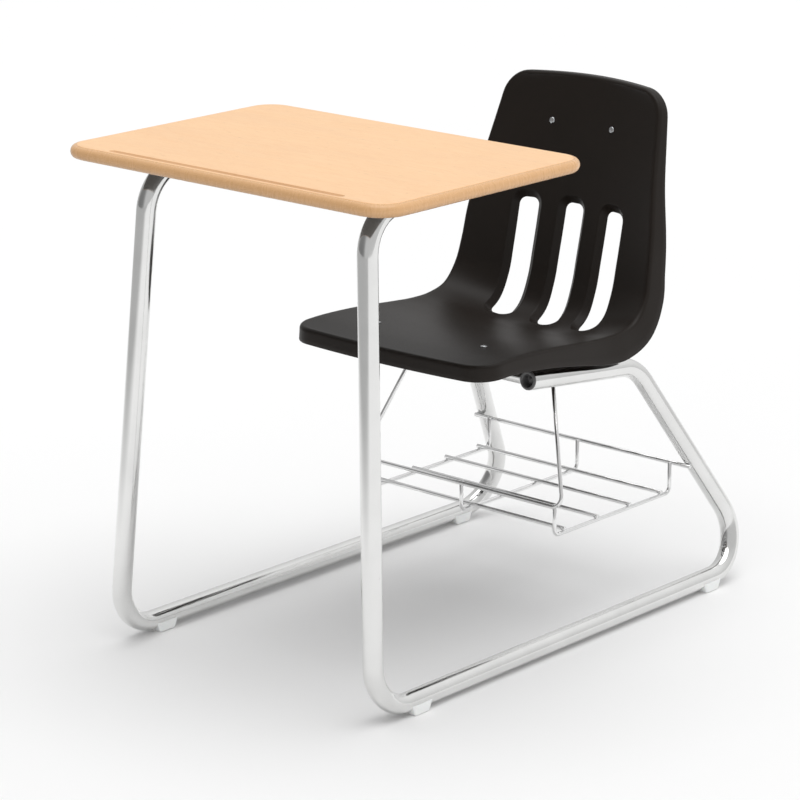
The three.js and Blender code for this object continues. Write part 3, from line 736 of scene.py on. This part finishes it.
def side_stations(sign, steps=18):
    """One side's centre line: under the desk, down, along the floor, up, and under the seat."""
    corners = (
        (DESK_TUBE_X, -62, DESK_TUBE_Z),
        (DESK_TUBE_X, -357, DESK_TUBE_Z),
        (RUNNER_X, -394, RUNNER_Z),
        (RUNNER_X, 467, RUNNER_Z),
        (SEAT_TUBE_X, SEAT_TUBE_BACK.y, SEAT_TUBE_BACK.z),
        (SEAT_TUBE_X, SEAT_TUBE_FRONT.y, SEAT_TUBE_FRONT.z),
    )
    return bent_line([(sign * x, y, z) for x, y, z in corners], BEND, steps)


PLUG_PROFILE = (  # a flange outside the tube, and a cup that reaches into it
    (0, -16), (11.6, -16), (11.6, 0.2), (13.4, 0.2), (13.7, 0.7), (13.7, 1.9), (13.3, 2.7),
    (12.5, 3.1), (10.6, 3.1), (9.8, 2.8), (9.3, 2.0), (8.9, -3), (8.5, -8.2), (7.9, -8.9),
    (5.2, -9.0), (4.4, -8.6), (3.9, -5.2), (3.2, -4.6), (0, -4.5),
)

for side, sign in SIDES:
    stations = side_stations(sign)
    made = tube(f"frame_tube_{side}", stations, TUBE_RADIUS, TUBE_WALL, chrome)
    piece(made, "chrome_tube", f"side_frame_{side}")
    for place_name, end, inner in (("desk", 0, 1), ("seat", -1, -2)):
        mesh_data = bmesh.new()
        turned(mesh_data, PLUG_PROFILE, stations[end], stations[end] - stations[inner], 36)
        made = finish_mesh(f"{place_name}_plug_{side}", mesh_data, [plug_plastic], 50)
        piece(made, "plug", f"{place_name}_tube_plug_{side}")

# ---------------------------------------------------------------- cross tubes and their welds
CROSS_RADIUS = 9.5
CROSS_WALL = 1.5
WELD_STEPS = 44


def seat_tube_z(y):
    """The height of the seat tubes' centre line at a place along them."""
    share = (y - SEAT_TUBE_FRONT.y) / (SEAT_TUBE_BACK.y - SEAT_TUBE_FRONT.y)
    return SEAT_TUBE_FRONT.z + share * (SEAT_TUBE_BACK.z - SEAT_TUBE_FRONT.z)


CROSS_TUBES = (
    # node, side tube's x, y, z, how far it lies from the side tubes' own height
    ("front_seat_cross_tube", SEAT_TUBE_X, 31, seat_tube_z(31), 0),
    ("rear_seat_cross_tube", SEAT_TUBE_X, 133, seat_tube_z(133), 0),
    ("desk_cross_tube", DESK_TUBE_X, -190, DESK_TUBE_Z - 2, -2),
)
weld_data = bmesh.new()
for node, side_x, y, z, axis_drop in CROSS_TUBES:
    reach = side_x - TUBE_RADIUS + 3
    ends = [Vector((-reach, y, z)), Vector((reach, y, z))]
    bar = tube(node.replace("tube", "bar"), ends, CROSS_RADIUS, CROSS_WALL, chrome, 32)
    piece(bar, "chrome_tube", node)
    weld_radius = CROSS_RADIUS + 0.6
    for _, sign in SIDES:
        path = []
        for k in range(WELD_STEPS):
            angle = 2 * math.pi * k / WELD_STEPS
            rise = weld_radius * math.sin(angle)
            inset = math.sqrt(TUBE_RADIUS**2 - min(abs(rise + axis_drop), 13.5) ** 2)
            path.append(Vector((
                sign * (side_x - inset - 0.4), y + weld_radius * math.cos(angle), z + rise,
            )))
        lump_ring(weld_data, path, 1.5, 0.28)
piece(finish_mesh("cross_bar_welds", weld_data, [weld_metal], 80), "chrome_tube")

# ---------------------------------------------------------------- seat shell
SHELL_ROWS = (  # (middle y, z), (rim y, z), half width, rim depth
    ((-101, 419), (-99, 420.5), 178, 23),
    ((-36, 418), (-36, 423), 177, 24),
    ((44, 411), (44, 420), 177, 28),
    ((124, 398.5), (114, 414), 177, 33),
    ((189, 388.5), (164, 410.5), 177, 39),
    ((236, 385.5), (204, 411.5), 178, 42),
    ((270.5, 401.5), (239, 421.5), 178, 40),
    ((289, 438), (262, 449), 177, 36),
    ((300, 480.5), (272.5, 484), 174, 32),
    ((314, 540), (283, 535), 170, 28),
    ((326.5, 605), (301, 605), 158, 22),
    ((339, 670), (321, 670), 148, 18),
    ((353, 737), (340, 735), 138, 15),
)
SHELL_CORNER_FRONT = 36
SHELL_CORNER_TOP = 34
SHELL_THICKNESS = 4


def spline(points, t):
    """A centripetal spline through the points, as the solid's rows are joined."""
    place = t * (len(points) - 1)
    index = min(int(place), len(points) - 2)
    weight = place - index
    p1, p2 = points[index], points[index + 1]
    p0 = points[index - 1] if index > 0 else 2 * p1 - p2
    p3 = points[index + 2] if index + 2 < len(points) else 2 * p2 - p1
    d0, d1, d2 = ((b - a).length ** 0.5 for a, b in ((p0, p1), (p1, p2), (p2, p3)))
    t1 = ((p1 - p0) / d0 - (p2 - p0) / (d0 + d1) + (p2 - p1) / d1) * d1
    t2 = ((p2 - p1) / d1 - (p3 - p1) / (d1 + d2) + (p3 - p2) / d2) * d1
    w2, w3 = weight * weight, weight * weight * weight
    start = p1 * (2 * w3 - 3 * w2 + 1) + t1 * (w3 - 2 * w2 + weight)
    return start + p2 * (3 * w2 - 2 * w3) + t2 * (w3 - w2)


MIDDLE_POINTS = [Vector((0, *row[0])) for row in SHELL_ROWS]
RIM_POINTS = [Vector((row[2], *row[1])) for row in SHELL_ROWS]
SAMPLES = 600
shell_table = []
travelled = 0.0
for k in range(SAMPLES + 1):
    middle = spline(MIDDLE_POINTS, k / SAMPLES)
    if shell_table:
        travelled += (middle - shell_table[-1][1]).length
    shell_table.append((travelled, middle, spline(RIM_POINTS, k / SAMPLES)))
SHELL_LENGTH = travelled


def along_at(distance):
    """The row parameter, 0 to 1, at a distance along the shell's middle."""
    low, high = 0, SAMPLES
    while high - low > 1:
        mid = (low + high) // 2
        if shell_table[mid][0] <= distance:
            low = mid
        else:
            high = mid
    span = shell_table[high][0] - shell_table[low][0]
    return (low + (distance - shell_table[low][0]) / span) / SAMPLES


def spline_distance(along):
    """The distance along the shell's middle at a row parameter, 0 to 1."""
    place = along * SAMPLES
    index = min(int(place), SAMPLES - 1)
    low, high = shell_table[index][0], shell_table[index + 1][0]
    return low + (high - low) * (place - index)


def rim_half(distance, rim_x):
    """Half the shell's width, with its rounded front and top corners."""
    inset = corner_inset(distance, SHELL_CORNER_FRONT)
    return rim_x - inset - corner_inset(SHELL_LENGTH - distance, SHELL_CORNER_TOP)


def shell_point(x, distance):
    """A place on the shell's upper face, in millimetres."""
    held = min(max(distance, 0), SHELL_LENGTH)
    along = along_at(held)
    middle = spline(MIDDLE_POINTS, along)
    rim = spline(RIM_POINTS, along)
    across = x / rim_half(held, rim.x)
    blend = across * across
    return Vector((x, middle.y + blend * (rim.y - middle.y), middle.z + blend * (rim.z - middle.z)))


def shell_normal(x, distance):
    """The way out of the shell's upper face."""
    step = 0.8
    low = min(max(distance, step), SHELL_LENGTH - step)
    along = along_at(low)
    rim = spline(RIM_POINTS, along)
    middle = spline(MIDDLE_POINTS, along)
    half = rim_half(low, rim.x)
    across = x / half
    blend = across * across
    ahead, behind = along_at(low + step), along_at(low - step)
    forward = spline(MIDDLE_POINTS, ahead) - spline(MIDDLE_POINTS, behind)
    rimward = spline(RIM_POINTS, ahead) - spline(RIM_POINTS, behind)
    rimward.x = 0
    up = forward.lerp(rimward, blend)
    slope = 2 * across / half
    sideways = Vector((1, slope * (rim.y - middle.y), slope * (rim.z - middle.z)))
    return sideways.cross(up).normalized()


def rim_depth(distance):
    """How far the rolled rim hangs below the upper face."""
    depths = [Vector((row[3], 0, k)) for k, row in enumerate(SHELL_ROWS)]
    return spline(depths, along_at(distance)).x


SLOT_ALONG = (0.446, 0.77)
SLOT_SPACING = 80
SLOT_HALF = 16.1
SLOT_CORNER = 11
SLOT_END_SLOPE = 1.2  # the funnel slopes more gently at the slot's two ends
SLOT_BLOCK = (29, 18)  # half width of the ringed block, and its reach past the slot's ends
SLOT_RINGS = (  # (outside the slot's outline, below the upper face)
    (12.0, 0.0), (10.8, 0.0), (10.0, 0.03), (9.5, 0.14), (9.1, 0.34), (8.7, 0.64), (8.2, 1.05),
    (6.9, 2.2), (5.3, 3.6), (3.7, 5.0), (2.1, 6.4), (1.1, 7.25), (0.5, 7.8), (0.1, 8.4), (0.0, 9.0),
    (0.2, 9.6), (0.7, 10.0), (1.5, 10.1), (2.6, 9.7), (4.0, 8.6), (5.8, 7.0), (7.8, 5.3),
    (9.3, 4.4), (10.6, 4.07), (11.9, 4.0),
)


SHELL_PITCH = 5.5
SHELL_CORNER_STEPS = 9
SHELL_GRID_HALF = 175  # the column grid's half width, before it follows the shell's outline
SHELL_COLUMNS = (11, 10, 3, 10, 3, 10, 11)  # side, slot, web, slot, web, slot, side
COLUMN_EASE = 70  # past the slots, the columns spread out over this length
RIM_BEND = 5.6
RIM_BEND_STEPS = 6
RIM_LEAN = 1.4


def rim_section(depth):
    """The rolled rim as (out, down): over the bend, down the skirt, round the foot, back up inside."""
    crest = []
    for n in range(1, RIM_BEND_STEPS + 1):
        angle = math.pi / 2 * n / RIM_BEND_STEPS
        crest.append((RIM_BEND * math.sin(angle), RIM_BEND * (1 - math.cos(angle))))
    fall = depth - 1 - RIM_BEND
    skirt = [(RIM_BEND + RIM_LEAN * share, RIM_BEND + fall * share) for share in (0.3, 0.65, 1.0)]
    foot = [(6.7, depth - 0.3), (6.1, depth), (3.7, depth), (3.1, depth - 0.3), (2.9, depth - 1)]
    inside = [(2.6, 9.5), (2.3, 7.4), (1.5, 5.5)]
    return crest + skirt + foot + inside


def seat_shell_piece():
    mesh_data = bmesh.new()
    start, end = (spline_distance(a) for a in SLOT_ALONG)
    block_half, block_reach = SLOT_BLOCK
    zone = (start - block_reach, end + block_reach)
    rows = eased_rows(
        0, SHELL_LENGTH, SHELL_CORNER_FRONT, SHELL_CORNER_TOP, SHELL_CORNER_STEPS, SHELL_PITCH,
        (zone[0], start, end, zone[1]),
    )
    block_rows = tuple(min(range(len(rows)), key=lambda k: abs(rows[k] - mark)) for mark in zone)
    kept = SLOT_SPACING + block_half
    edges = [-SHELL_GRID_HALF, -kept, -SLOT_SPACING + block_half, -block_half]
    edges += [-e for e in reversed(edges)]
    base = [edges[0]]
    for left, right, count in zip(edges, edges[1:], SHELL_COLUMNS):
        base += [left + (right - left) * n / count for n in range(1, count + 1)]

    def column_at(distance, column):
        x = base[column]
        half = rim_half(distance, spline(RIM_POINTS, along_at(distance)).x)
        proportional = x * half / SHELL_GRID_HALF
        fixed = x
        if abs(x) > kept:
            share = (abs(x) - kept) / (SHELL_GRID_HALF - kept)
            fixed = math.copysign(kept + share * (half - kept), x)
        blend = min(max(zone[0] - distance, distance - zone[1], 0) / COLUMN_EASE, 1.0)
        blend = blend * blend * (3 - 2 * blend)
        return fixed + (proportional - fixed) * blend

    def place(x, distance, depth):
        at = shell_point(x, distance)
        if depth:
            at -= shell_normal(x, distance) * depth
        return at * MM

    windows = []
    for index, slot in enumerate((-1, 0, 1)):
        first = sum(SHELL_COLUMNS[: 1 + 2 * index])
        windows.append(Window(
            block_rows, (first, first + SHELL_COLUMNS[1]), (slot * SLOT_SPACING, (start + end) / 2),
            (SLOT_HALF, (end - start) / 2), SLOT_CORNER, SLOT_RINGS, SLOT_END_SLOPE,
        ))
    upper = panel_grid(mesh_data, rows, column_at, len(base), windows, place, 0.0)
    lower = panel_grid(mesh_data, rows, column_at, len(base), windows, place, SHELL_THICKNESS)
    for window in windows:
        last_ring, walk = window_rings(mesh_data, window, rows, column_at, place, upper)
        bridge(mesh_data, last_ring, [lower[w] for w in walk])

    walk = walk_round((0, len(rows) - 1), (0, len(base) - 1))
    spots = [(column_at(rows[r], c), rows[r]) for r, c in walk]
    edge = [shell_point(*spot) for spot in spots]
    sections = []
    for k, (x, distance) in enumerate(spots):
        normal = shell_normal(x, distance)
        normal.x /= 2
        normal.normalize()
        run = edge[(k + 1) % len(edge)] - edge[k - 1]
        outward = run.cross(normal).normalized()
        section = rim_section(rim_depth(distance))
        sections.append([edge[k] + outward * out - normal * down for out, down in section])
    previous = [upper[w] for w in walk]
    for step in range(len(sections[0])):
        ring = [mesh_data.verts.new(section[step] * MM) for section in sections]
        bridge(mesh_data, previous, ring)
        previous = ring
    bridge(mesh_data, previous, [lower[w] for w in walk])
    return finish_mesh("bucket_shell", mesh_data, [shell_plastic], 80)


piece(seat_shell_piece(), "shell", "seat_shell")

# ---------------------------------------------------------------- fasteners of the shell
SEAT_RIVET_SPOT = (100, 0.118)  # x, and how far along the shell
BACK_RIVET_SPOT = (56, 0.917)
SEAT_RIVET_GRIP = 9.4
BACK_RIVET_GRIP = 5.6
WASHER_PROFILE = ((2.7, -5.5), (6.5, -5.5), (7, -5.2), (7, -4.6), (6.6, -4.3), (2.7, -4.3))


def rivet_profile(grip):
    """A domed head with a small pit, a shank as long as its grip, and the set tail."""
    return (
        (0, -grip - 2.2), (2.4, -grip - 2.1), (3.4, -grip - 1.7), (3.8, -grip - 1.1), (3.8, -grip - 0.3),
        (2.4, -grip - 0.3), (2.4, 0.2), (4.4, 0.1), (4.75, 0.3), (4.75, 0.55), (4.5, 0.9), (4.0, 1.25),
        (3.2, 1.6), (2.2, 1.82), (1.3, 1.9), (1.0, 1.78), (0.8, 1.45), (0, 1.35),
    )


SCREW_PROFILE = (
    (0, -1.6), (0.9, -1.6), (1.1, -2.7), (1.6, -3.1), (2.8, -3.0), (3.8, -2.6), (4.5, -1.9),
    (4.8, -1.0), (4.8, -0.2), (4.6, 0), (2.1, 0), (2.1, 4), (2.0, 11), (0, 13),
)

for side, sign in SIDES:
    seat_spot = (sign * SEAT_RIVET_SPOT[0], spline_distance(SEAT_RIVET_SPOT[1]))
    back_spot = (sign * BACK_RIVET_SPOT[0], spline_distance(BACK_RIVET_SPOT[1]))
    rivets = (("seat", seat_spot, SEAT_RIVET_GRIP), ("back", back_spot, BACK_RIVET_GRIP))
    for label, spot, grip in rivets:
        mesh_data = bmesh.new()
        turned(mesh_data, rivet_profile(grip), shell_point(*spot), shell_normal(*spot), 32)
        made = finish_mesh(f"{label}_rivet_head_{side}", mesh_data, [rivet_metal], 40)
        piece(made, "fastener", f"{label}_rivet_{side}")
    mesh_data = bmesh.new()
    turned(mesh_data, WASHER_PROFILE, shell_point(*back_spot), shell_normal(*back_spot), 32)
    made = finish_mesh(f"back_rivet_washer_{side}", mesh_data, [rivet_metal], 40)
    piece(made, "fastener", f"back_washer_{side}")


def screw(name, node, x, y, head_top):
    """A round-headed screw, head down, with a recess in its head."""
    mesh_data = bmesh.new()
    turned(mesh_data, SCREW_PROFILE, (x, y, head_top), (0, 0, 1), 28)
    piece(finish_mesh(name, mesh_data, [screw_metal], 40), "fastener", node)


BOSS = (100, 162, 381)
BOSS_PROFILE = ((2.6, 0), (7.2, 0), (7.8, 0.5), (8.2, 9), (9.4, 13), (0, 14))
TAB_THICKNESS = 3
SEAT_SCREW_Z = BOSS[2] - 0.6 - TAB_THICKNESS
DESK_SCREW_X = 170
DESK_SCREW_YS = (("front", -300), ("rear", -100))
DESK_SCREW_Z = 700.7 - TAB_THICKNESS - 0.3
boss_data = bmesh.new()
for side, sign in SIDES:
    screw(f"seat_tab_screw_{side}", f"seat_screw_{side}", sign * BOSS[0], BOSS[1], SEAT_SCREW_Z)
    turned(boss_data, BOSS_PROFILE, (sign * BOSS[0], BOSS[1], BOSS[2]), (0, 0, 1), 32)
    for place_name, y in DESK_SCREW_YS:
        screw(f"desk_tab_screw_{place_name}_{side}", f"desk_screw_{place_name}_{side}",
              sign * DESK_SCREW_X, y, DESK_SCREW_Z)
piece(finish_mesh("seat_bosses", boss_data, [shell_plastic], 50), "shell")


# ---------------------------------------------------------------- plates carried over from the solids
def soften(node, material, width=0.0005):
    """A packed plate keeps its shape. It gets its finish and fine broken edges."""
    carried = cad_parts[node]
    carried.data.materials.clear()
    carried.data.materials.append(material)
    bevel = carried.modifiers.new("edge", "BEVEL")
    bevel.width = width
    bevel.segments = 2
    bevel.limit_method = "ANGLE"


for side, _ in SIDES:
    for place_name in ("front", "rear"):
        soften(f"desk_tab_{place_name}_{side}", chrome)
        soften(f"{place_name}_seat_tab_{side}", chrome)

# ---------------------------------------------------------------- book basket
WIRE = 3
WIRE_STEP = 2 * WIRE + 0.3  # between the centre lines of two wires that touch
FLOOR_Z = 143.5
RAIL_Z = 182
FRONT_Y = 61
rail_low, rail_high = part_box("basket_rear_rail")
BACK_Y = (rail_low.y + rail_high.y) / 2 / MM
RAIL_REACH = 209
HANGER_TOP = (124, 120, 364.5)
HANGER_CORNER_X = 194
U_HALF = 175
FLOOR_REACH = 179
FLOOR_YS = [87 + 76 * k for k in range(4)]


def wire(name, node, corners, bend):
    """One bent wire of the basket."""
    mesh_data = bmesh.new()
    stations = bent_line(corners, bend, 10)
    add_rings(mesh_data, rod_rings(stations, WIRE, 20, 0.4))
    piece(finish_mesh(name, mesh_data, [chrome_wire], 50), "chrome_wire", node)


top_x, top_y, top_z = HANGER_TOP
wire("hanger_wire", "basket_hanger_wire", (
    (top_x, top_y, top_z), (HANGER_CORNER_X, FRONT_Y, RAIL_Z),
    (-HANGER_CORNER_X, FRONT_Y, RAIL_Z), (-top_x, top_y, top_z),
), 14)
wire("rear_rail_wire", "basket_rear_rail",
     ((-RAIL_REACH, BACK_Y, RAIL_Z), (RAIL_REACH, BACK_Y, RAIL_Z)), 0)
nuggets = bmesh.new()
front, back, low = FRONT_Y + WIRE_STEP, BACK_Y - WIRE_STEP, FLOOR_Z - WIRE_STEP
for label, x in (("left", U_HALF), ("middle", 0), ("right", -U_HALF)):
    wire(f"u_wire_{label}", f"basket_u_wire_{label}", (
        (x, front, RAIL_Z + 2), (x, front, low), (x, back, low), (x, back, RAIL_Z + 2),
    ), 10)
    blob(nuggets, (x, FRONT_Y + WIRE_STEP / 2, RAIL_Z - 0.4), (0, 0, 1), 2.4, 4.6)
    blob(nuggets, (x, BACK_Y - WIRE_STEP / 2, RAIL_Z - 0.4), (0, 0, 1), 2.4, 4.6)
    for y in FLOOR_YS:
        blob(nuggets, (x, y, FLOOR_Z - WIRE_STEP / 2), (0, 1, 0), 2.3, 4.4)
for number, y in enumerate(FLOOR_YS, 1):
    wire(f"floor_wire_{number}", f"basket_floor_wire_{number}",
         ((-FLOOR_REACH, y, FLOOR_Z), (FLOOR_REACH, y, FLOOR_Z)), 0)

# The rail is welded across both uprights, and the hanger to the rear bar.
rail_share = (SEAT_TUBE_BACK.z - RAIL_Z) / (SEAT_TUBE_BACK.z - RUNNER_Z)
UPRIGHT_X = SEAT_TUBE_X + (RUNNER_X - SEAT_TUBE_X) * rail_share
for _, sign in SIDES:
    for rise in (-2.6, 2.6):
        blob(nuggets, (sign * UPRIGHT_X, BACK_Y + 2.2, RAIL_Z + rise), (1, 0, 0), 1.7, 11)
    blob(nuggets, (sign * 123, 122.5, 365), (0, 0, 1), 3.6, 9)
piece(finish_mesh("basket_welds", nuggets, [weld_metal], 80), "chrome_wire")

# ---------------------------------------------------------------- glides
GLIDE_TOP = 15
TROUGH = TUBE_RADIUS + 0.15
TROUGH_STEPS = 12
GLIDE_SIDE = (
    (13.4, 0), (14.6, 0.5), (15.4, 1.8), (15.5, 3.4), (15.5, 14.2), (15.2, GLIDE_TOP), (14.6, 15.1),
)
GLIDE_ENDS = ((0, 1.0), (1.2, 0.62), (4.6, 0.04), (5.6, 0.0))  # (from the end, drawn in)
END_DRAW = 0.12
END_SLOPE = 0.03  # the sole is this much shorter per millimetre down


def glide_section():
    """The saddle's outline across the runner, with the trough that holds it."""
    lip_angle = math.asin((RUNNER_Z - GLIDE_TOP) / TROUGH)
    section = list(GLIDE_SIDE)
    for k in range(TROUGH_STEPS + 1):
        angle = -lip_angle - (math.pi - 2 * lip_angle) * k / TROUGH_STEPS
        section.append((TROUGH * math.cos(angle), RUNNER_Z + TROUGH * math.sin(angle)))
    return section + [(-x, z) for x, z in reversed(GLIDE_SIDE)]


for side, _ in SIDES:
    for place_name in ("front", "rear"):
        node = f"glide_{place_name}_{side}"
        low, high = (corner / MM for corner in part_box(node))
        centre = (low + high) / 2
        half = (high.y - low.y) / 2
        ends = [(along - half, inset) for along, inset in GLIDE_ENDS]
        ends += [(-offset, inset) for offset, inset in reversed(ends)]
        mesh_data = bmesh.new()
        add_rings(mesh_data, [
            [
                point(
                    centre.x + x * (1 - END_DRAW * inset),
                    centre.y + offset * (1 - END_SLOPE * max(0, 10 - z)),
                    z,
                )
                for x, z in glide_section()
            ]
            for offset, inset in ends
        ])
        piece(finish_mesh(f"floor_{node}", mesh_data, [glide_plastic], 28), "glide", node)

# ---------------------------------------------------------------- floor
FLOOR_LEVEL = -0.0002
FLOOR_SIDES = 48
floor_data = bmesh.new()
spokes = [2 * math.pi * k / FLOOR_SIDES for k in range(FLOOR_SIDES)]
floor_rings = [
    [Vector((radius * math.cos(a), radius * math.sin(a), FLOOR_LEVEL)) for a in spokes]
    for radius in (0.02, 1.2, 4, 12, 45)
]
add_rings(floor_data, floor_rings, caps=(True, False))
floor = finish_mesh("studio_floor", floor_data, [floor_material()])
